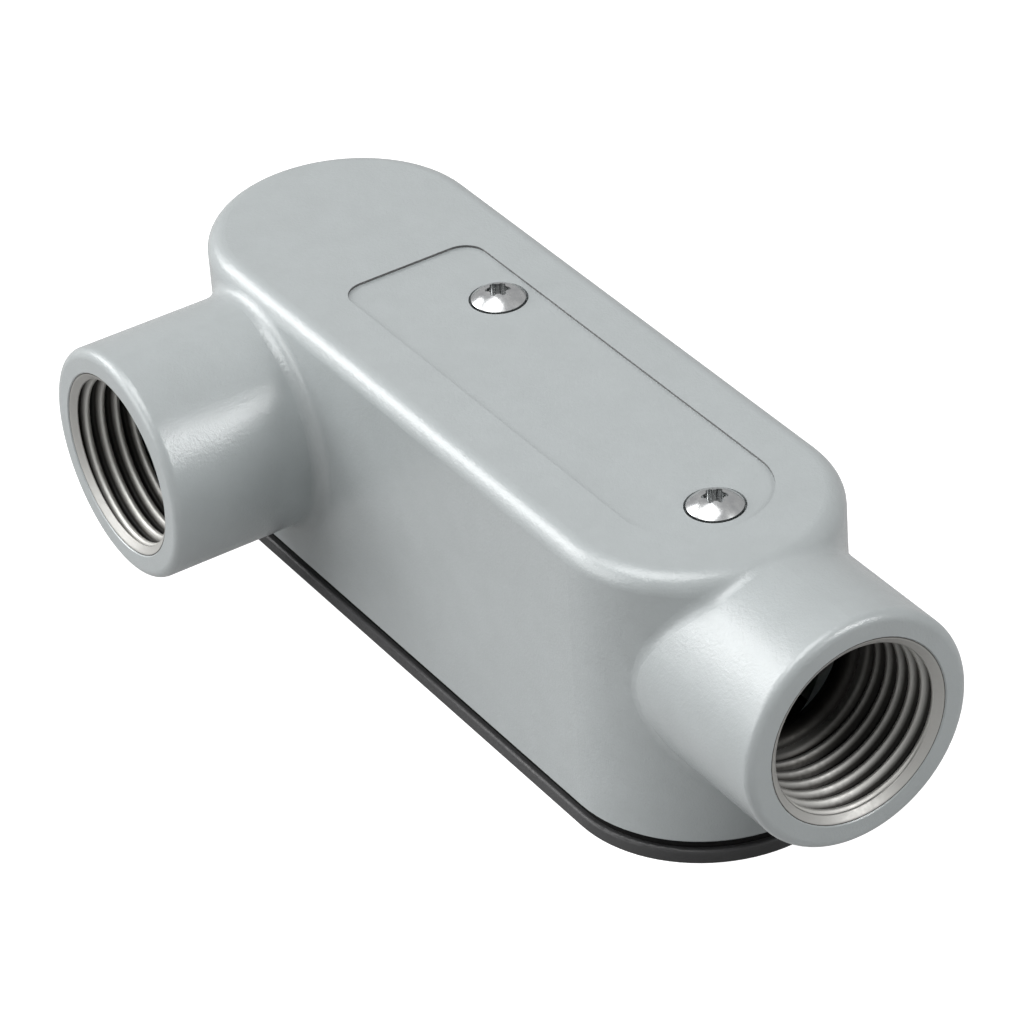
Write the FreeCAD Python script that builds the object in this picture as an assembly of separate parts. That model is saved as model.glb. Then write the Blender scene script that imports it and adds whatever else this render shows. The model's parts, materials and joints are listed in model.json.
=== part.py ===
import FreeCAD, Part
import math
import os

from FreeCAD import Vector

# Threaded conduit body with one end hub and one side hub, lying on its cover.
# Millimetres. The origin is the centre of the cover's outer face, +Z runs up to
# the closed back, +X runs to the end hub and the side hub points along -Y.

# ---- driving dimensions: the two hubs ----
THREAD_BORE_RADIUS = 10.35
THREAD_MOUTH_CHAMFER = 0.2
HUB_WALL = 2.8
HUB_FACE_ROUND = 1.0
HUB_ROOT_BLEND = 1.6
END_HUB_REACH = 12.2
END_BORE_DEPTH = 12.4
SIDE_HUB_REACH = 18.0
SIDE_BORE_DEPTH = 17.0
SIDE_HUB_SETBACK = 5.0
THROAT_LIP = 2.35
THROAT_ROUND = 1.2

# ---- driving dimensions: the casting, which is as wide and tall as its hubs ask ----
CENTRE_SPACING = 66.6
BODY_SIDE_MARGIN = 2.25
SIDE_HUB_RIM_MARGIN = 3.8
SIDE_HUB_BACK_MARGIN = 2.2
END_HUB_BACK_MARGIN = 0.35
BACK_EDGE_RADIUS = 2.1
RIM_CHAMFER = 0.3
DRAFT_ANGLE = 0.25
SIDE_WALL = 2.0
CHAMBER_EDGE_RADIUS = 1.5
BACK_WALL = 3.0

# ---- driving dimensions: the marking panel in the back ----
PANEL_LENGTH = 62.2
PANEL_WIDTH = 16.8
PANEL_FAR_CORNER = 2.7
PANEL_NEAR_FLAT = 0.8
PANEL_DEPTH = 0.3
PANEL_SHIFT = 9.6
PANEL_SIDE_SHIFT = 0.3

# ---- driving dimensions: the two domed screws in the back ----
BACK_SCREW_PLACES = {"back_screw_far": (-10.0, 4.8), "back_screw_near": (36.2, 0.7)}
BACK_SCREW_DIAMETER = 3.4
BACK_SCREW_LENGTH = 3.2
BACK_HEAD_DIAMETER = 5.9
BACK_HEAD_SIDE = 1.1
BACK_HEAD_DOME = 1.2
COUNTERBORE_DIAMETER = 6.4
COUNTERBORE_DEPTH = 1.0
BACK_BOSS_DIAMETER = 7.6
BACK_BOSS_FLOOR = 0.9
LOBE_DRIVE_DIAMETER = 2.7
LOBE_DRIVE_DEPTH = 1.2

# ---- driving dimensions: gasket, cover and cover screws ----
GASKET_THICKNESS = 0.9
GASKET_SETBACK = 0.6
GASKET_EAR_DIAMETER = 9.6
COVER_THICKNESS = 1.5
COVER_OVERHANG = 0.1
COVER_EDGE_ROUND = 0.35
COVER_SCREW_DIAMETER = 3.4
COVER_SCREW_LENGTH = 8.5
COVER_HEAD_DIAMETER = 6.2
COVER_HEAD_ANGLE = 90.0
COVER_BOSS_DIAMETER = 7.0
COVER_BOSS_SINK = 0.6
COVER_BOSS_LENGTH = 8.0
CROSS_SLOT_LENGTH = 3.4
CROSS_SLOT_WIDTH = 0.9
CROSS_SLOT_DEPTH = 1.1

# ---- fits ----
TAPPED_FIT = 0.05
HEAD_SEAT_FIT = 0.05
THROUGH_HOLE_FIT = 0.3

# ---- derived sizes ----
HUB_RADIUS = THREAD_BORE_RADIUS + HUB_WALL
THROAT_RADIUS = THREAD_BORE_RADIUS - THROAT_LIP
HALF_WIDTH = HUB_RADIUS + BODY_SIDE_MARGIN
HALF_SPACING = CENTRE_SPACING / 2
BODY_HEIGHT = 2 * HUB_RADIUS + SIDE_HUB_RIM_MARGIN + SIDE_HUB_BACK_MARGIN
RIM_Z = COVER_THICKNESS + GASKET_THICKNESS
BACK_Z = RIM_Z + BODY_HEIGHT
END_HUB_Z = BACK_Z - END_HUB_BACK_MARGIN - HUB_RADIUS
SIDE_HUB_Z = RIM_Z + SIDE_HUB_RIM_MARGIN + HUB_RADIUS
PANEL_Z = BACK_Z - PANEL_DEPTH
COUNTERBORE_Z = PANEL_Z - COUNTERBORE_DEPTH
CAVITY_TOP_Z = BACK_Z - BACK_WALL
CAVITY_HALF_WIDTH = HALF_WIDTH - SIDE_WALL
BACK_HOLE_DEPTH = BACK_SCREW_LENGTH + TAPPED_FIT
BACK_BOSS_BOTTOM_Z = COUNTERBORE_Z - BACK_HOLE_DEPTH - BACK_BOSS_FLOOR
COVER_SCREW_X = HALF_SPACING + CAVITY_HALF_WIDTH - COVER_BOSS_DIAMETER / 2 + COVER_BOSS_SINK
COVER_SCREW_PLACES = {"cover_screw_far": -COVER_SCREW_X, "cover_screw_near": COVER_SCREW_X}

# A cutting tool starts this far outside the surface that it cuts.
OVERSHOOT = 1.0

# A throat has to pass the round end's wall where that lies furthest back.
WALL_DEPTH_AT_THROAT = HALF_WIDTH + OVERSHOOT - math.sqrt(CAVITY_HALF_WIDTH ** 2 - THROAT_RADIUS ** 2)

UP = Vector(0, 0, 1)


def arc_between(start, middle, end):
    return Part.Arc(start, middle, end).toShape()


def closed_face(edges):
    return Part.Face(Part.Wire(edges))


def stadium_face(half_spacing, radius, z):
    """A flat face with two straight sides and two half-round ends."""
    left, right = -half_spacing, half_spacing
    corners = [Vector(left, -radius, z), Vector(right, -radius, z),
               Vector(right, radius, z), Vector(left, radius, z)]
    edges = [Part.LineSegment(corners[0], corners[1]).toShape(),
             arc_between(corners[1], Vector(right + radius, 0, z), corners[2]),
             Part.LineSegment(corners[2], corners[3]).toShape(),
             arc_between(corners[3], Vector(left - radius, 0, z), corners[0])]
    return closed_face(edges)


def stadium_plate(half_spacing, radius, z, thickness):
    return stadium_face(half_spacing, radius, z).extrude(UP * thickness)


def moulded_form(half_width, bottom_z, top_z, edge_radius, rim_chamfer):
    """A drafted stadium block with a rolled upper edge, as a casting has.

    One half section is revolved round the axis of each end, and the mirrored
    section is drawn along the straight stretch between them.
    """
    lean = math.radians(DRAFT_ANGLE)
    centre_z = top_z - edge_radius
    centre_x = half_width - (edge_radius + (centre_z - bottom_z) * math.sin(lean)) / math.cos(lean)
    side_end, edge_middle, top_end = [
        Vector(centre_x + edge_radius * math.cos(a), 0, centre_z + edge_radius * math.sin(a))
        for a in (lean, (lean + math.pi / 2) / 2, math.pi / 2)]
    chain = [Vector(0, 0, top_z), Vector(0, 0, bottom_z), Vector(half_width - rim_chamfer, 0, bottom_z)]
    if rim_chamfer > 0:
        chain.append(Vector(half_width - rim_chamfer * math.tan(lean), 0, bottom_z + rim_chamfer))
    chain.append(side_end)
    edges = [Part.LineSegment(a, b).toShape() for a, b in zip(chain, chain[1:])]
    edges.append(arc_between(side_end, edge_middle, top_end))
    edges.append(Part.LineSegment(top_end, chain[0]).toShape())
    half_section = closed_face(edges)

    end = half_section.copy()
    end.rotate(Vector(0, 0, 0), UP, -90)
    end = end.revolve(Vector(0, 0, 0), UP, 180)
    far_end = end.mirror(Vector(0, 0, 0), Vector(1, 0, 0))
    end.translate(Vector(HALF_SPACING, 0, 0))
    far_end.translate(Vector(-HALF_SPACING, 0, 0))

    across = half_section.copy()
    across.rotate(Vector(0, 0, 0), UP, 90)
    across.translate(Vector(-HALF_SPACING, 0, 0))
    middle = across.extrude(Vector(CENTRE_SPACING, 0, 0))
    mirrored_middle = middle.mirror(Vector(0, 0, 0), Vector(0, 1, 0))
    return end.fuse([far_end, middle, mirrored_middle]).removeSplitter()


def turned(points_and_arcs, axis_start, axis):
    """A solid of revolution from a chain of points; a triple is an arc."""
    edges = []
    last = points_and_arcs[0]
    for item in points_and_arcs[1:] + [points_and_arcs[0]]:
        if isinstance(item, tuple):
            edges.append(arc_between(last, item[0], item[1]))
            last = item[1]
        else:
            edges.append(Part.LineSegment(last, item).toShape())
            last = item
    return closed_face(edges).revolve(axis_start, axis, 360)


class Hub:
    """Where one hub stands: its axis runs outward through its face centre."""

    def __init__(self, face_centre, outward, reach, bore_depth):
        self.face_centre = face_centre
        self.outward = outward
        self.reach = reach
        self.bore_depth = bore_depth

    def place(self, shape):
        """Move a shape modelled with its face at the origin and outward along +X."""
        placed = shape.copy()
        turn = FreeCAD.Rotation(Vector(1, 0, 0), self.outward)
        placed.Placement = FreeCAD.Placement(self.face_centre, turn)
        return placed

    def barrel(self):
        length = self.reach + HALF_WIDTH / 2
        inner = HUB_RADIUS - HUB_FACE_ROUND
        slant = HUB_FACE_ROUND * (1 - math.sqrt(0.5))
        points = [Vector(-length, 0, 0), Vector(-length, 0, HUB_RADIUS),
                  Vector(-HUB_FACE_ROUND, 0, HUB_RADIUS),
                  (Vector(-slant, 0, HUB_RADIUS - slant), Vector(0, 0, inner)),
                  Vector(0, 0, 0)]
        return self.place(turned(points, Vector(0, 0, 0), Vector(1, 0, 0)))

    def bore(self):
        """The thread's bore, its mouth chamfer and the rounded throat behind it."""
        depth = self.bore_depth
        inner_end = depth + WALL_DEPTH_AT_THROAT
        mouth = THREAD_BORE_RADIUS + THREAD_MOUTH_CHAMFER
        slant = THROAT_ROUND * (1 - math.sqrt(0.5))
        points = [Vector(OVERSHOOT, 0, 0), Vector(OVERSHOOT, 0, mouth), Vector(0, 0, mouth),
                  Vector(-THREAD_MOUTH_CHAMFER, 0, THREAD_BORE_RADIUS),
                  Vector(-depth, 0, THREAD_BORE_RADIUS),
                  Vector(-depth, 0, THROAT_RADIUS + THROAT_ROUND),
                  (Vector(-depth - slant, 0, THROAT_RADIUS + slant),
                   Vector(-depth - THROAT_ROUND, 0, THROAT_RADIUS)),
                  Vector(-inner_end, 0, THROAT_RADIUS), Vector(-inner_end, 0, 0)]
        return self.place(turned(points, Vector(0, 0, 0), Vector(1, 0, 0)))


END_HUB = Hub(Vector(HALF_SPACING + HALF_WIDTH + END_HUB_REACH, 0, END_HUB_Z),
              Vector(1, 0, 0), END_HUB_REACH, END_BORE_DEPTH)
SIDE_HUB = Hub(Vector(SIDE_HUB_SETBACK - HALF_SPACING, -HALF_WIDTH - SIDE_HUB_REACH, SIDE_HUB_Z),
               Vector(0, -1, 0), SIDE_HUB_REACH, SIDE_BORE_DEPTH)


def shared_edges(whole, first, second):
    """Edges of whole that lie on the surface of both first and second."""
    found = []
    tolerance = 1e-4
    for edge in whole.Edges:
        middle = Part.Vertex(edge.valueAt((edge.FirstParameter + edge.LastParameter) / 2))
        on_first = min(shell.distToShape(middle)[0] for shell in first.Shells) < tolerance
        on_second = min(shell.distToShape(middle)[0] for shell in second.Shells) < tolerance
        if on_first and on_second:
            found.append(edge)
    return found


def casting():
    """The outer form: the moulded box with both hubs blended into it."""
    form = moulded_form(HALF_WIDTH, RIM_Z, BACK_Z, BACK_EDGE_RADIUS, RIM_CHAMFER)
    for hub in (SIDE_HUB, END_HUB):
        barrel = hub.barrel()
        joined = form.fuse(barrel)
        form = joined.makeFillet(HUB_ROOT_BLEND, shared_edges(joined, form, barrel))
    return form


def cavity():
    """The wiring chamber, open at the rim."""
    return moulded_form(CAVITY_HALF_WIDTH, RIM_Z - OVERSHOOT, CAVITY_TOP_Z, CHAMBER_EDGE_RADIUS, 0)


def marking_panel():
    """The shallow recess in the back face where markings go."""
    half_length, half_width = PANEL_LENGTH / 2, PANEL_WIDTH / 2
    box = Part.makeBox(PANEL_LENGTH, PANEL_WIDTH, PANEL_DEPTH + OVERSHOOT,
                       Vector(PANEL_SHIFT - half_length, PANEL_SIDE_SHIFT - half_width, PANEL_Z))
    near_corner = (PANEL_WIDTH - PANEL_NEAR_FLAT) / 2
    for side, radius in ((-1, PANEL_FAR_CORNER), (1, near_corner)):
        end_x = PANEL_SHIFT + side * half_length
        upright = [edge for edge in box.Edges if abs(edge.BoundBox.Center.x - end_x) < radius / 2
                   and edge.BoundBox.ZLength > PANEL_DEPTH]
        box = box.makeFillet(radius, upright)
    return box


def back_screw_boss(x, y):
    """Inner boss that gives a back screw its thread, blind at its lower end."""
    length = CAVITY_TOP_Z - BACK_BOSS_BOTTOM_Z + OVERSHOOT
    return Part.makeCylinder(BACK_BOSS_DIAMETER / 2, length, Vector(x, y, BACK_BOSS_BOTTOM_Z), UP)


def back_screw_hole(x, y):
    """Counterbore for the domed head with the tapped hole below it."""
    sink = Part.makeCylinder(COUNTERBORE_DIAMETER / 2, COUNTERBORE_DEPTH + PANEL_DEPTH + OVERSHOOT,
                             Vector(x, y, COUNTERBORE_Z), UP)
    hole = Part.makeCylinder(BACK_SCREW_DIAMETER / 2 + TAPPED_FIT, BACK_HOLE_DEPTH + OVERSHOOT,
                             Vector(x, y, COUNTERBORE_Z - BACK_HOLE_DEPTH), UP)
    return sink.fuse(hole)


def cover_screw_boss(x):
    """Pillar in the end wall that takes a cover screw; it stops below the bore."""
    return Part.makeCylinder(COVER_BOSS_DIAMETER / 2, COVER_BOSS_LENGTH, Vector(x, 0, RIM_Z), UP)


def cover_screw_bore(x):
    depth = COVER_SCREW_LENGTH - RIM_Z + TAPPED_FIT
    return Part.makeCylinder(COVER_SCREW_DIAMETER / 2 + TAPPED_FIT, depth + OVERSHOOT,
                             Vector(x, 0, RIM_Z - OVERSHOOT), UP)


def body():
    shape = casting().cut([cavity(), marking_panel()])
    bosses = [back_screw_boss(x, y) for x, y in BACK_SCREW_PLACES.values()]
    bosses += [cover_screw_boss(x) for x in COVER_SCREW_PLACES.values()]
    shape = shape.fuse(bosses)
    holes = [hub.bore() for hub in (SIDE_HUB, END_HUB)]
    holes += [back_screw_hole(x, y) for x, y in BACK_SCREW_PLACES.values()]
    holes += [cover_screw_bore(x) for x in COVER_SCREW_PLACES.values()]
    return shape.cut(holes).removeSplitter()


def gasket():
    """A die-cut ring under the rim, with an ear round each cover screw."""
    outer = stadium_plate(HALF_SPACING, HALF_WIDTH - GASKET_SETBACK, COVER_THICKNESS, GASKET_THICKNESS)
    window = stadium_plate(HALF_SPACING, CAVITY_HALF_WIDTH, COVER_THICKNESS, GASKET_THICKNESS)
    ring = outer.cut(window)
    ears = []
    holes = []
    for x in COVER_SCREW_PLACES.values():
        foot = Vector(x, 0, COVER_THICKNESS)
        ear = Part.makeCylinder(GASKET_EAR_DIAMETER / 2, GASKET_THICKNESS, foot, UP)
        ears.append(ear.common(outer))
        holes.append(Part.makeCylinder(COVER_SCREW_DIAMETER / 2 + THROUGH_HOLE_FIT,
                                       GASKET_THICKNESS, foot, UP))
    return ring.fuse(ears).cut(holes).removeSplitter()


def countersink(x, fit):
    """The cone and shank of a flat-headed cover screw, grown by a fit."""
    head = COVER_HEAD_DIAMETER / 2
    shank = COVER_SCREW_DIAMETER / 2
    cone_height = (head - shank) / math.tan(math.radians(COVER_HEAD_ANGLE / 2))
    start = Vector(x, 0, 0)
    return Part.makeCone(head + fit, shank + fit, cone_height, start, UP)


def cover():
    """The plate that closes the body, with a rolled upper edge."""
    plate = stadium_plate(HALF_SPACING, HALF_WIDTH + COVER_OVERHANG, 0, COVER_THICKNESS)
    upper_rim = [edge for edge in plate.Edges if edge.BoundBox.ZMin > COVER_THICKNESS / 2]
    plate = plate.makeFillet(COVER_EDGE_ROUND, upper_rim)
    holes = []
    for x in COVER_SCREW_PLACES.values():
        holes.append(countersink(x, HEAD_SEAT_FIT))
        holes.append(Part.makeCylinder(COVER_SCREW_DIAMETER / 2 + THROUGH_HOLE_FIT,
                                       COVER_THICKNESS, Vector(x, 0, 0), UP))
    return plate.cut(holes).removeSplitter()


def cross_slot(x):
    """The cross recess in a cover screw's head, cut from below."""
    long_half, wide_half = CROSS_SLOT_LENGTH / 2, CROSS_SLOT_WIDTH / 2
    along = Part.makeBox(CROSS_SLOT_LENGTH, CROSS_SLOT_WIDTH, CROSS_SLOT_DEPTH,
                         Vector(x - long_half, -wide_half, 0))
    across = Part.makeBox(CROSS_SLOT_WIDTH, CROSS_SLOT_LENGTH, CROSS_SLOT_DEPTH,
                          Vector(x - wide_half, -long_half, 0))
    return along.fuse(across)


def cover_screw(x):
    """Flat-headed machine screw, driven up from below, its head flush."""
    shank = Part.makeCylinder(COVER_SCREW_DIAMETER / 2, COVER_SCREW_LENGTH, Vector(x, 0, 0), UP)
    return shank.fuse(countersink(x, 0)).cut(cross_slot(x)).removeSplitter()


def lobe_recess(x, y, top_z):
    """Six round lobes on a circle round a core, as a six-lobe driver bit."""
    lobe_radius = LOBE_DRIVE_DIAMETER / 8
    ring_radius = LOBE_DRIVE_DIAMETER / 2 - lobe_radius
    floor = Vector(x, y, top_z - LOBE_DRIVE_DEPTH)
    height = LOBE_DRIVE_DEPTH + OVERSHOOT
    core = Part.makeCylinder(ring_radius, height, floor, UP)
    lobes = []
    for turn in range(6):
        angle = math.radians(60 * turn)
        offset = Vector(ring_radius * math.cos(angle), ring_radius * math.sin(angle), 0)
        lobes.append(Part.makeCylinder(lobe_radius, height, floor + offset, UP))
    return core.fuse(lobes).removeSplitter()


def back_screw(x, y):
    """Domed machine screw: its head sits in the counterbore and stands proud."""
    head, shank = BACK_HEAD_DIAMETER / 2, BACK_SCREW_DIAMETER / 2
    seat = COUNTERBORE_Z
    shoulder = seat + BACK_HEAD_SIDE
    crown = shoulder + BACK_HEAD_DOME
    dome_radius = (head ** 2 + BACK_HEAD_DOME ** 2) / (2 * BACK_HEAD_DOME)
    half_angle = math.asin(head / dome_radius) / 2
    dome_middle = Vector(x + dome_radius * math.sin(half_angle), y,
                         crown - dome_radius * (1 - math.cos(half_angle)))
    end = seat - BACK_SCREW_LENGTH
    points = [Vector(x, y, end), Vector(x + shank, y, end), Vector(x + shank, y, seat),
              Vector(x + head, y, seat), Vector(x + head, y, shoulder),
              (dome_middle, Vector(x, y, crown))]
    return turned(points, Vector(x, y, 0), UP).cut(lobe_recess(x, y, crown))


def main():
    os.makedirs("parts", exist_ok=True)
    solids = {"body": body(), "gasket": gasket(), "cover": cover()}
    for name, place in BACK_SCREW_PLACES.items():
        solids[name] = back_screw(*place)
    for name, x in COVER_SCREW_PLACES.items():
        solids[name] = cover_screw(x)
    for name, shape in solids.items():
        shape.exportStep(os.path.join("parts", name + ".step"))
        print(name, shape.ShapeType, len(shape.Solids), round(shape.Volume, 2), shape.isValid())


if __name__ == "__main__":
    main()
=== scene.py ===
"""Looks of the threaded conduit body: paint, bare thread, plated screws, studio."""

import json
import math

import bpy
from mathutils import Matrix, Vector


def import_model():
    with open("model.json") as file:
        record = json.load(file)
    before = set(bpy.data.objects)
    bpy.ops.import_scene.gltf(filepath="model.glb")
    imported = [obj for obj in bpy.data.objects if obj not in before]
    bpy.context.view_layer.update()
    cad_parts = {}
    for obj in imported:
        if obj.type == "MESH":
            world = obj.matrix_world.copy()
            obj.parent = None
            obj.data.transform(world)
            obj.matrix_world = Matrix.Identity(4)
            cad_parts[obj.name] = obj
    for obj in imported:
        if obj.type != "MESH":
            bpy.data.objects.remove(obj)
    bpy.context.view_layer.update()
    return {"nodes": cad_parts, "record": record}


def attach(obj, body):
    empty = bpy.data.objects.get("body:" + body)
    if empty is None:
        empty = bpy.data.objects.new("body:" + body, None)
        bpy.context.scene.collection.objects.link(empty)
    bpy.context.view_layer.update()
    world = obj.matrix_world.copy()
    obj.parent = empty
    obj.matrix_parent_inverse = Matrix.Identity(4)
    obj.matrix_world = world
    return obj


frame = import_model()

MM = 0.001

# ---- the bare thread inside each hub; the bore and its depth come from the mounts ----
HUB_NAMES = ("end_hub", "side_hub")
MOUTH_CHAMFER = 0.2 * MM
PITCH = 1.814 * MM
TAPER = 1 / 32
ROOT_CLEARANCE = 0.08 * MM
THREAD_HEIGHT = 0.86 * MM
CREST_SHARE = 0.08
ROOT_SHARE = 0.10
MOUTH_STEP = 0.12 * MM
MOUTH_GROOVE = 0.10 * MM
BEVEL_DEPTH = 0.8 * MM
RUN_OUT_TURNS = 0.8
THREAD_STOP = 0.5 * MM
LIP_ROUND = 1.2 * MM
LIP_LENGTH = 1.0 * MM
LIP_STEPS = 8
THROAT_RADIUS = 8.0 * MM
LINER_GAP = 0.03 * MM
LINER_BACK = 0.3 * MM
# painted shade: the thread darkens deeper in the bore, and the throat's lip is dark
DEEP_PAINTED_SHADE = 0.6
LIP_SHADE = 0.12
BEVEL_SHADE = 0.62
STEPS_AROUND = 180
STEPS_PER_TURN = 18

# ---- noise patterns: cycles per metre, detail, roughness ----
ENAMEL_MOTTLE = (240, 5, 0.65)
ENAMEL_GRAIN = (2600, 3, 0.75)
ENAMEL_PEEL = (900, 2, 0.5)
RUBBER_GRAIN = (2500, 3, 0.5)
COVER_MOTTLE = (300, 3, 0.5)
COVER_GRAIN = (3600, 2, 0.5)
ZINC_CLOUD = (900, 3, 0.5)
ZINC_GRAIN = (2600, 2, 0.5)
CUTTING_MARKS = (2200, 3, 0.5)

# ---- the part of a noise's range that is used: for colours, and for values ----
MOTTLE_STOPS = (0.35, 0.65)
NOISE_SPAN = (0.3, 0.7)

# ---- depth of the bumps ----
ENAMEL_GRAIN_DEPTH = 0.045 * MM
ENAMEL_PEEL_DEPTH = 0.012 * MM
RUBBER_GRAIN_DEPTH = 0.01 * MM
COVER_GRAIN_DEPTH = 0.012 * MM
ZINC_GRAIN_DEPTH = 0.006 * MM
CUTTING_MARKS_DEPTH = 0.004 * MM

# ---- colours: each pair is the darker and the lighter end of a mottle ----
ENAMEL_COLOURS = ((0.470, 0.505, 0.510), (0.492, 0.528, 0.534))
RUBBER_COLOURS = ((0.004, 0.004, 0.004), (0.009, 0.009, 0.009))
COVER_COLOURS = ((0.046, 0.046, 0.047), (0.056, 0.056, 0.057))
ZINC_COLOURS = ((0.56, 0.57, 0.58), (0.66, 0.67, 0.67))
# painted shade: the step round the back panel is near black, the screws' recess walls a
# darker grey
PANEL_STEP_SHADE_COLOUR = (0.10, 0.10, 0.10, 1)
RECESS_WALL_SHADE_COLOUR = (0.38, 0.39, 0.39, 1)
WHITE = (1, 1, 1, 1)
# painted shade: the thread's colour runs from near black in the grooves to the metal's own
# colour on the crests
THREAD_SHADE_STOPS = (
    (0.0, (0.010, 0.010, 0.009)),
    (0.22, (0.045, 0.042, 0.037)),
    (0.60, (0.50, 0.495, 0.475)),
    (1.0, (0.74, 0.735, 0.70)),
)

# ---- shine ----
ENAMEL_ROUGHNESS = (0.32, 0.44)
ENAMEL_METALLIC = 0.08
COAT_WEIGHT = 0.8
COAT_ROUGHNESS = 0.07
PANEL_STEP_ROUGHNESS = 1.0
RUBBER_ROUGHNESS = 0.8
RUBBER_SPECULAR = 0.2
COVER_ROUGHNESS = (0.38, 0.55)
ZINC_ROUGHNESS = (0.20, 0.30)
THREAD_METALLIC = 0.6
THREAD_ROUGHNESS = (0.42, 0.56)

# ---- places painted darker as shade: the step round the back panel, the screws' recess walls ----
PANEL_STEP_CENTRE = (9.6 * MM, 0.3 * MM, 34.55 * MM)
PANEL_STEP_REACH = (31.8 * MM, 9.0 * MM, 0.135 * MM)
RECESS_WALL_LEVEL = 0.4
RECESS_WALL_BLUR = 0.1

# ---- first, second and result socket of a Mix node, by its data type ----
MIX_SOCKETS = {"FLOAT": (2, 3, 0), "RGBA": (6, 7, 2)}

# ---- the camera ----
LOOK_AT = Vector((5.94, -4.90, 19.64)) * MM
DISTANCE = 530.5 * MM
AZIMUTH = math.radians(59.62)
ELEVATION = math.radians(34.16)
ROLL = math.radians(-4.40)
LENS = 178.4
CLIP_START = 0.01
CLIP_END = 20

# ---- the studio: name, direction, distance, size (metres), watts ----
SOFTBOXES = (
    ("key_left", (-0.71, -0.47, 0.46), 0.9, (0.42, 0.50), 3.3),
    ("overhead", (-0.02, -0.30, 0.95), 1.0, (0.75, 0.75), 6.2),
    ("back_right", (0.76, 0.41, 0.50), 0.9, (0.22, 0.42), 2.7),
    ("wall_fill", (-0.35, -0.92, 0.20), 1.1, (0.90, 0.90), 5.3),
)
AIM = Vector((0.0, 0.0, 0.018))
AMBIENT = 0.10
GLOSSY_AMBIENT = 0.5
CAMERA_WHITE = 1.0
FLOOR_REACH = 3.0
FLOOR_DROP = 0.02 * MM
FLOOR_GREY = 0.36
FLOOR_ROUGHNESS = 0.9
FLOOR_GLOSSY = 0.18


# ---------------------------------------------------------------- materials

def new_material(name):
    """A new material, with its nodes, its links and its shader."""
    material = bpy.data.materials.new(name)
    material.use_nodes = True
    nodes = material.node_tree.nodes
    return material, nodes, material.node_tree.links, nodes["Principled BSDF"]


def noise(nodes, links, scale, detail, roughness):
    """A noise texture on the object's own coordinates, scale in cycles per metre."""
    place = nodes.new("ShaderNodeTexCoord")
    texture = nodes.new("ShaderNodeTexNoise")
    texture.inputs["Scale"].default_value = scale
    texture.inputs["Detail"].default_value = detail
    texture.inputs["Roughness"].default_value = roughness
    links.new(place.outputs["Object"], texture.inputs["Vector"])
    return texture.outputs["Fac"]


def ramp(nodes, links, factor, stops):
    """Turn a factor into a colour by (position, colour) stops."""
    node = nodes.new("ShaderNodeValToRGB")
    elements = node.color_ramp.elements
    while len(elements) < len(stops):
        elements.new(1.0)
    for element, (position, colour) in zip(elements, stops):
        element.position = position
        element.color = (*colour, 1)
    links.new(factor, node.inputs["Fac"])
    return node.outputs["Color"]


def mottled(nodes, links, factor, colours):
    """Turn a noise into a colour between a darker and a lighter one."""
    return ramp(nodes, links, factor, tuple(zip(MOTTLE_STOPS, colours)))


def value_between(nodes, links, factor, low, high, source=NOISE_SPAN):
    """Turn a factor's source range into a value from low to high."""
    node = nodes.new("ShaderNodeMapRange")
    node.inputs["From Min"].default_value, node.inputs["From Max"].default_value = source
    node.inputs["To Min"].default_value = low
    node.inputs["To Max"].default_value = high
    links.new(factor, node.inputs["Value"])
    return node.outputs["Result"]


def bump(nodes, links, height, depth, coarser=None):
    """A bump of the given depth in metres, added to a coarser bump where one is given."""
    node = nodes.new("ShaderNodeBump")
    node.inputs["Strength"].default_value = 1.0
    node.inputs["Distance"].default_value = depth
    links.new(height, node.inputs["Height"])
    if coarser is not None:
        links.new(coarser, node.inputs["Normal"])
    return node.outputs["Normal"]


def inside_box(nodes, links, centre, reach):
    """1 inside a box of the frame, 0 outside it."""
    place = nodes.new("ShaderNodeNewGeometry")
    split = nodes.new("ShaderNodeSeparateXYZ")
    links.new(place.outputs["Position"], split.inputs["Vector"])
    inside = None
    for axis, middle, half in zip("XYZ", centre, reach):
        near = nodes.new("ShaderNodeMath")
        near.operation = "COMPARE"
        links.new(split.outputs[axis], near.inputs[0])
        near.inputs[1].default_value = middle
        near.inputs[2].default_value = half
        if inside is not None:
            both = nodes.new("ShaderNodeMath")
            both.operation = "MULTIPLY"
            links.new(inside, both.inputs[0])
            links.new(near.outputs["Value"], both.inputs[1])
            near = both
        inside = near.outputs["Value"]
    return inside


def steep(nodes, links, level, blur):
    """1 where a face's normal points up by less than the level, 0 where by more."""
    place = nodes.new("ShaderNodeNewGeometry")
    split = nodes.new("ShaderNodeSeparateXYZ")
    links.new(place.outputs["True Normal"], split.inputs["Vector"])
    span = (level - blur, level + blur)
    return value_between(nodes, links, split.outputs["Z"], 1.0, 0.0, span)


def blend(nodes, links, factor, kind, first, second):
    """Mix a linked first value with a constant second one."""
    low, high, result = MIX_SOCKETS[kind]
    node = nodes.new("ShaderNodeMix")
    node.data_type = kind
    links.new(factor, node.inputs["Factor"])
    links.new(first, node.inputs[low])
    node.inputs[high].default_value = second
    return node.outputs[result]


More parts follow.
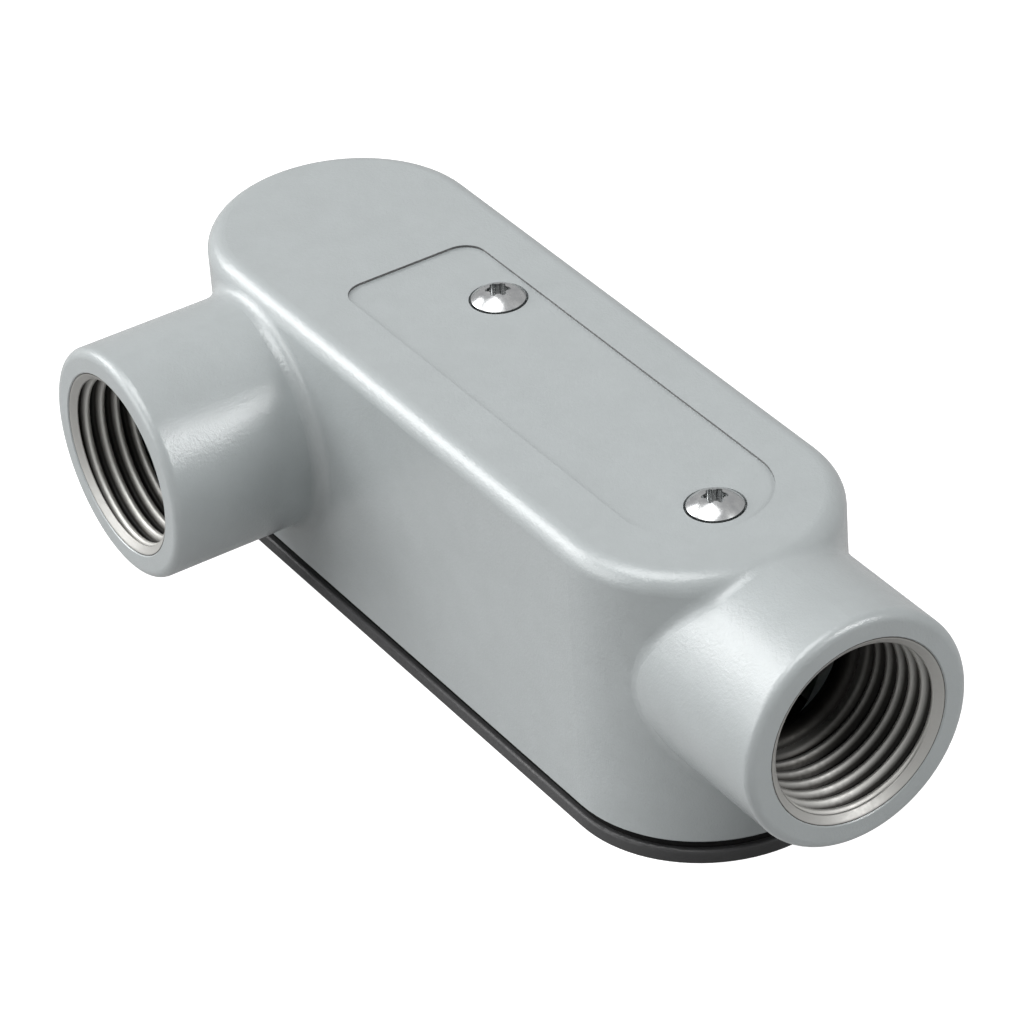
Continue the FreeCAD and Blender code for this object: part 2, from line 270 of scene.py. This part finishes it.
def grey_enamel():
    """Light grey enamel under a gloss coat: faint mottling, orange peel, fine grain, and
    painted shade in the step round the back panel.
    """
    material, nodes, links, shader = new_material("grey_enamel")
    step = inside_box(nodes, links, PANEL_STEP_CENTRE, PANEL_STEP_REACH)
    mottle = noise(nodes, links, *ENAMEL_MOTTLE)
    paint = mottled(nodes, links, mottle, ENAMEL_COLOURS)
    # the step round the back panel is painted near black as shade
    colour = blend(nodes, links, step, "RGBA", paint, PANEL_STEP_SHADE_COLOUR)
    links.new(colour, shader.inputs["Base Color"])
    grain = noise(nodes, links, *ENAMEL_GRAIN)
    gloss = value_between(nodes, links, grain, *ENAMEL_ROUGHNESS)
    roughness = blend(nodes, links, step, "FLOAT", gloss, PANEL_STEP_ROUGHNESS)
    links.new(roughness, shader.inputs["Roughness"])
    shader.inputs["Metallic"].default_value = ENAMEL_METALLIC
    shader.inputs["Coat Weight"].default_value = COAT_WEIGHT
    shader.inputs["Coat Roughness"].default_value = COAT_ROUGHNESS
    peel = bump(nodes, links, noise(nodes, links, *ENAMEL_PEEL), ENAMEL_PEEL_DEPTH)
    surface = bump(nodes, links, grain, ENAMEL_GRAIN_DEPTH, peel)
    links.new(surface, shader.inputs["Normal"])
    links.new(surface, shader.inputs["Coat Normal"])
    return material


def black_rubber():
    """Dull black rubber of the gasket."""
    material, nodes, links, shader = new_material("black_rubber")
    grain = noise(nodes, links, *RUBBER_GRAIN)
    links.new(mottled(nodes, links, grain, RUBBER_COLOURS), shader.inputs["Base Color"])
    shader.inputs["Roughness"].default_value = RUBBER_ROUGHNESS
    shader.inputs["Specular IOR Level"].default_value = RUBBER_SPECULAR
    links.new(bump(nodes, links, grain, RUBBER_GRAIN_DEPTH), shader.inputs["Normal"])
    return material


def dark_paint():
    """Charcoal paint of the cover plate."""
    material, nodes, links, shader = new_material("dark_paint")
    mottle = noise(nodes, links, *COVER_MOTTLE)
    grain = noise(nodes, links, *COVER_GRAIN)
    links.new(mottled(nodes, links, mottle, COVER_COLOURS), shader.inputs["Base Color"])
    roughness = value_between(nodes, links, grain, *COVER_ROUGHNESS)
    links.new(roughness, shader.inputs["Roughness"])
    links.new(bump(nodes, links, grain, COVER_GRAIN_DEPTH), shader.inputs["Normal"])
    return material


def bright_zinc():
    """Bright plated steel of the screws, with the faint clouds of a barrel finish, and
    painted shade on the recess walls.
    """
    material, nodes, links, shader = new_material("bright_zinc")
    cloud = noise(nodes, links, *ZINC_CLOUD)
    plating = mottled(nodes, links, cloud, ZINC_COLOURS)
    # the steep recess walls are painted darker as shade
    shaded_walls = steep(nodes, links, RECESS_WALL_LEVEL, RECESS_WALL_BLUR)
    colour = blend(nodes, links, shaded_walls, "RGBA", plating, RECESS_WALL_SHADE_COLOUR)
    links.new(colour, shader.inputs["Base Color"])
    shader.inputs["Metallic"].default_value = 1.0
    roughness = value_between(nodes, links, cloud, *ZINC_ROUGHNESS)
    links.new(roughness, shader.inputs["Roughness"])
    grain = noise(nodes, links, *ZINC_GRAIN)
    links.new(bump(nodes, links, grain, ZINC_GRAIN_DEPTH), shader.inputs["Normal"])
    return material


def bare_aluminium():
    """Cut aluminium of the threads, slightly warm, its grooves darkened with painted shade.

    The mesh carries "crest": 0 in a groove, up to 1 on a crest, and fixed shades
    between them on the mouth's bevel and on the throat's lip. The dark grooves, the
    darkening deeper in and the dark lip are painted shade.
    """
    material, nodes, links, shader = new_material("bare_aluminium")
    crest = nodes.new("ShaderNodeAttribute")
    crest.attribute_name = "crest"
    # painted shade: near black in the grooves, darker deeper in, the metal's own colour on
    # the crests
    colour = ramp(nodes, links, crest.outputs["Fac"], THREAD_SHADE_STOPS)
    links.new(colour, shader.inputs["Base Color"])
    shader.inputs["Metallic"].default_value = THREAD_METALLIC
    marks = noise(nodes, links, *CUTTING_MARKS)
    roughness = value_between(nodes, links, marks, *THREAD_ROUGHNESS)
    links.new(roughness, shader.inputs["Roughness"])
    links.new(bump(nodes, links, marks, CUTTING_MARKS_DEPTH), shader.inputs["Normal"])
    return material


def paint_nodes(materials):
    """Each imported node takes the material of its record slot."""
    slots = {part["node"]: part["material_slot"] for part in frame["record"]["subparts"]}
    for name, node in frame["nodes"].items():
        own = node.data.materials
        if not own:
            own.append(None)
        for index in range(len(own)):
            own[index] = materials[slots[name]]


# ------------------------------------------------------------------ threads

def smooth(share):
    """An eased share: 0 up to 0, 1 from 1 on, and flat at both ends."""
    share = min(1.0, max(0.0, share))
    return share * share * (3 - 2 * share)


def ridge(turn):
    """Height of the rounded thread within one turn: 1 on its crest, 0 in its groove."""
    off_crest = abs((turn % 1.0) - 0.5) * 2
    return 1 - smooth((off_crest - CREST_SHARE) / (1 - ROOT_SHARE - CREST_SHARE))


def bevel_wall(depth, bore_radius):
    """(radius, crest) of the mouth's bevel at a depth below the face."""
    share = (depth - MOUTH_STEP) / (BEVEL_DEPTH - MOUTH_STEP)
    return bore_radius - ROOT_CLEARANCE - THREAD_HEIGHT * share, BEVEL_SHADE


def thread_wall(depth, angle, bore_radius, thread_end):
    """(radius, crest) of the threaded wall at a depth below the face and an angle.

    Towards the thread's end its grooves fade into a plain wall as high as the crests.
    """
    root = bore_radius - ROOT_CLEARANCE - depth * TAPER
    turn = depth / PITCH + angle / (2 * math.pi)
    fade = smooth((thread_end - depth) / (RUN_OUT_TURNS * PITCH))
    height = 1 - (1 - ridge(turn)) * fade
    # painted shade: dark in the grooves and darker deeper in the bore
    crest = height * (1 - DEEP_PAINTED_SHADE * smooth(depth / thread_end))
    return root - THREAD_HEIGHT * height, crest


def liner_front(bore_radius, bore_depth, angle):
    """(depth, radius, crest) rows from the mouth down the wall and over the throat's lip."""
    thread_end = bore_depth - THREAD_STOP
    lip_depth = bore_depth - LINER_GAP
    lip_radius = THROAT_RADIUS - LINER_GAP
    # the mouth's step starts black at its outer edge, a painted shade line
    rows = [
        (MOUTH_STEP, bore_radius + MOUTH_GROOVE, 0.0),
        (MOUTH_STEP, bore_radius - ROOT_CLEARANCE, BEVEL_SHADE),
    ]
    count = round(thread_end / PITCH * STEPS_PER_TURN)
    for row in range(1, count + 1):
        depth = MOUTH_STEP + (lip_depth - MOUTH_STEP) * row / count
        if depth < BEVEL_DEPTH:
            radius, crest = bevel_wall(depth, bore_radius)
        else:
            radius, crest = thread_wall(depth, angle, bore_radius, thread_end)
        rows.append((depth, radius, crest))
    # the throat's lip is painted dark as shade
    for step in range(LIP_STEPS + 1):
        turn = math.pi / 2 * step / LIP_STEPS
        depth = lip_depth + LIP_ROUND * (1 - math.cos(turn))
        radius = lip_radius + LIP_ROUND * (1 - math.sin(turn))
        rows.append((depth, radius, LIP_SHADE))
    rows.append((lip_depth + LIP_ROUND + LIP_LENGTH, lip_radius, LIP_SHADE))
    return rows


def liner_back(bore_radius, bore_depth):
    """(depth, radius, crest) rows that close the liner inside the casting's wall."""
    outer = bore_radius + LINER_BACK
    return [
        (bore_depth + LIP_ROUND + LIP_LENGTH, THROAT_RADIUS + LINER_BACK, 0.0),
        (bore_depth + LINER_BACK, THROAT_RADIUS + LIP_ROUND, 0.0),
        (bore_depth + LINER_BACK, outer, 0.0),
        (MOUTH_STEP + LINER_BACK, outer, 0.0),
    ]


def closed_tube(name, rings):
    """Mesh of a ring of closed profiles, wrapped round in both directions."""
    count, length = len(rings), len(rings[0])
    faces = []
    for i in range(count):
        here, there = i * length, (i + 1) % count * length
        for j in range(length):
            k = (j + 1) % length
            faces.append((here + j, there + j, there + k, here + k))
    mesh = bpy.data.meshes.new(name)
    mesh.from_pydata([point for ring in rings for point, _ in ring], [], faces)
    crests = mesh.attributes.new("crest", "FLOAT", "POINT")
    crests.data.foreach_set("value", [crest for ring in rings for _, crest in ring])
    mesh.shade_smooth()
    piece = bpy.data.objects.new(name, mesh)
    bpy.context.scene.collection.objects.link(piece)
    return piece


def thread_liner(mount):
    """The bare-metal wall of one hub: mouth bevel, helical thread, run-out and lip."""
    axis = Vector(mount["axis"]).normalized()
    half = mount["dims"]["length_mm"] * MM / 2
    bore_radius = mount["dims"]["r_mm"] * MM
    mouth = Vector(mount["pos_m"]) + axis * (half + MOUTH_CHAMFER)
    bore_depth = 2 * half + MOUTH_CHAMFER
    side = Vector((0, 0, 1)).cross(axis).normalized()
    up = axis.cross(side)
    back = liner_back(bore_radius, bore_depth)
    rings = []
    for index in range(STEPS_AROUND):
        angle = 2 * math.pi * index / STEPS_AROUND
        outward = side * math.cos(angle) + up * math.sin(angle)
        rows = liner_front(bore_radius, bore_depth, angle) + back
        ring = [(mouth - axis * depth + outward * radius, crest)
                for depth, radius, crest in rows]
        rings.append(ring)
    return closed_tube(mount["name"] + "_thread", rings)


# ------------------------------------------------------------------- studio

def floor():
    """A pale floor that is white to the camera and dimmer in reflections."""
    mesh = bpy.data.meshes.new("floor")
    signs = ((-1, -1), (1, -1), (1, 1), (-1, 1))
    corners = [(x * FLOOR_REACH, y * FLOOR_REACH, 0) for x, y in signs]
    mesh.from_pydata(corners, [], [(0, 1, 2, 3)])
    piece = bpy.data.objects.new("floor", mesh)
    bpy.context.scene.collection.objects.link(piece)
    piece.location.z = -FLOOR_DROP
    material, nodes, links, shader = new_material("floor")
    shader.inputs["Base Color"].default_value = (FLOOR_GREY, FLOOR_GREY, FLOOR_GREY, 1)
    shader.inputs["Roughness"].default_value = FLOOR_ROUGHNESS
    shader.inputs["Emission Color"].default_value = WHITE
    path = nodes.new("ShaderNodeLightPath")
    seen = nodes.new("ShaderNodeMath")
    seen.operation = "MULTIPLY_ADD"
    seen.inputs[1].default_value = FLOOR_GLOSSY
    links.new(path.outputs["Is Glossy Ray"], seen.inputs[0])
    links.new(path.outputs["Is Camera Ray"], seen.inputs[2])
    links.new(seen.outputs["Value"], shader.inputs["Emission Strength"])
    mesh.materials.append(material)


def softbox(name, direction, distance, size, watts):
    """A rectangular lamp in the given direction, turned to the object."""
    light = bpy.data.lights.new(name, "AREA")
    light.shape = "RECTANGLE"
    light.size, light.size_y = size
    light.energy = watts
    lamp = bpy.data.objects.new(name, light)
    bpy.context.scene.collection.objects.link(lamp)
    toward = Vector(direction).normalized()
    lamp.location = AIM + toward * distance
    lamp.rotation_euler = toward.to_track_quat("Z", "Y").to_euler()


def world():
    """A white room: full white to the camera, dimmer in reflections, dim as a light."""
    surroundings = bpy.data.worlds.new("studio")
    bpy.context.scene.world = surroundings
    surroundings.use_nodes = True
    nodes, links = surroundings.node_tree.nodes, surroundings.node_tree.links
    background = nodes["Background"]
    background.inputs["Color"].default_value = WHITE
    path = nodes.new("ShaderNodeLightPath")
    reflected = nodes.new("ShaderNodeMix")
    reflected.inputs["A"].default_value = AMBIENT
    reflected.inputs["B"].default_value = GLOSSY_AMBIENT
    links.new(path.outputs["Is Glossy Ray"], reflected.inputs["Factor"])
    seen = nodes.new("ShaderNodeMix")
    seen.inputs["B"].default_value = CAMERA_WHITE
    links.new(reflected.outputs["Result"], seen.inputs["A"])
    links.new(path.outputs["Is Camera Ray"], seen.inputs["Factor"])
    links.new(seen.outputs["Result"], background.inputs["Strength"])


def camera():
    """The camera, set by where it looks, its bearing, its height and its roll."""
    back = Vector((
        math.sin(AZIMUTH) * math.cos(ELEVATION),
        -math.cos(AZIMUTH) * math.cos(ELEVATION),
        math.sin(ELEVATION),
    ))
    right = Vector((0, 0, 1)).cross(back).normalized()
    up = back.cross(right)
    turned_right = right * math.cos(ROLL) + up * math.sin(ROLL)
    turned_up = up * math.cos(ROLL) - right * math.sin(ROLL)
    turn = Matrix((turned_right, turned_up, back)).transposed().to_4x4()
    view = bpy.data.cameras.new("camera")
    view.lens = LENS
    view.clip_start, view.clip_end = CLIP_START, CLIP_END
    eye = bpy.data.objects.new("camera", view)
    bpy.context.scene.collection.objects.link(eye)
    eye.matrix_world = Matrix.Translation(LOOK_AT + back * DISTANCE) @ turn
    bpy.context.scene.camera = eye


def studio():
    """Floor, room, lamps and camera."""
    floor()
    world()
    for settings in SOFTBOXES:
        softbox(*settings)
    camera()
    bpy.context.scene.view_settings.view_transform = "Standard"


def main():
    """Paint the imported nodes, add the threads and set up the studio."""
    makers = (grey_enamel, black_rubber, dark_paint, bright_zinc)
    paint_nodes({make.__name__: make() for make in makers})
    bare = bare_aluminium()
    mounts = {mount["name"]: mount for mount in frame["record"]["mounts"]}
    for name in HUB_NAMES:
        liner = thread_liner(mounts[name])
        liner.data.materials.append(bare)
        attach(liner, "root")
    studio()


main()
